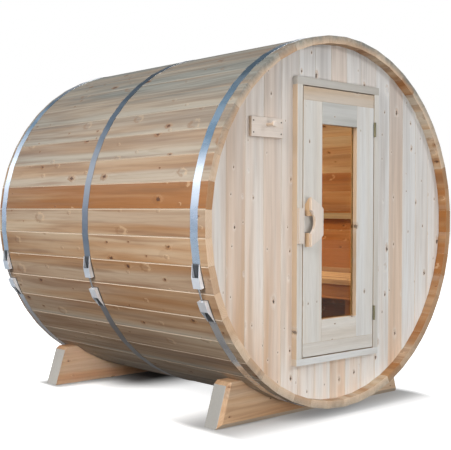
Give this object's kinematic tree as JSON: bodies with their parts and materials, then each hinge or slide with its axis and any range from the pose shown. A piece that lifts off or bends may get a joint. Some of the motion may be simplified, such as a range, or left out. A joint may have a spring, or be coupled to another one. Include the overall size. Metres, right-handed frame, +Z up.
{
  "type": "barrel sauna",
  "caption": "Barrel sauna of flat wooden staves in steel bands on two cradles, with a framed glass door that swings outward and slatted benches inside.",
  "frame": {"origin": "centre of the bounding box's footprint, on the ground under the cradles", "axes": "+Z up, -Y towards the door end, +X to the right seen from the door"},
  "size_m": [1.8336, 1.841, 1.8769],
  "materials": {
    "stave_wood": "oiled pine staves with knots, bare and slightly weathered",
    "wall_boards": "pale tongue and groove pine boards",
    "band_steel": "galvanised steel strap, bright",
    "tinted_glass": "bronze tinted safety glass",
    "bronze": "aged bronze",
    "handle_wood": "planed pale wood",
    "door_wood": "planed pale pine",
    "cradle_wood": "sawn orange pine with grey end grain",
    "bench_wood": "planed pine"
  },
  "bodies": {
    "barrel": {"staves_left_1": "stave_wood", "staves_left_2": "stave_wood", "staves_left_3": "stave_wood", "staves_left_4": "stave_wood", "staves_right_1": "stave_wood", "staves_right_2": "stave_wood", "staves_right_3": "stave_wood", "staves_right_4": "stave_wood", "front_wall_left": "wall_boards", "front_wall_right": "wall_boards", "front_wall_over_door": "wall_boards", "front_wall_under_door": "wall_boards", "back_wall": "wall_boards", "band_front": "band_steel", "band_middle": "band_steel", "band_back": "band_steel", "tensioner_front": "band_steel", "tensioner_middle": "band_steel", "tensioner_back": "band_steel", "door_jamb_left": "door_wood", "door_jamb_right": "door_wood", "door_head": "door_wood", "door_sill": "door_wood", "door_stops": "door_wood", "latch_keeper": "handle_wood", "hinges_on_frame": "bronze", "towel_hook": "handle_wood", "bench_left": "bench_wood", "bench_right": "bench_wood", "bench_supports": "bench_wood", "backrests": "bench_wood", "floor_boards": "bench_wood", "floor_bearers": "bench_wood", "cradle_front": "cradle_wood", "cradle_back": "cradle_wood"},
    "door": {"door_stile_left": "door_wood", "door_stile_right": "door_wood", "door_top_rail": "door_wood", "door_upper_rail": "door_wood", "door_lower_rail": "door_wood", "door_bottom_rail": "door_wood", "door_glass": "tinted_glass", "door_handle_grip": "handle_wood", "door_handle_blocks": "handle_wood", "hinges_on_door": "bronze"}
  },
  "joints": [
    {"name": "door_swing", "type": "hinge", "parent": "barrel", "child": "door", "pos_m": [0.2485, -0.8828, 0.962], "axis": [0, 0, 1], "range_deg": [0, 110]}
  ]
}
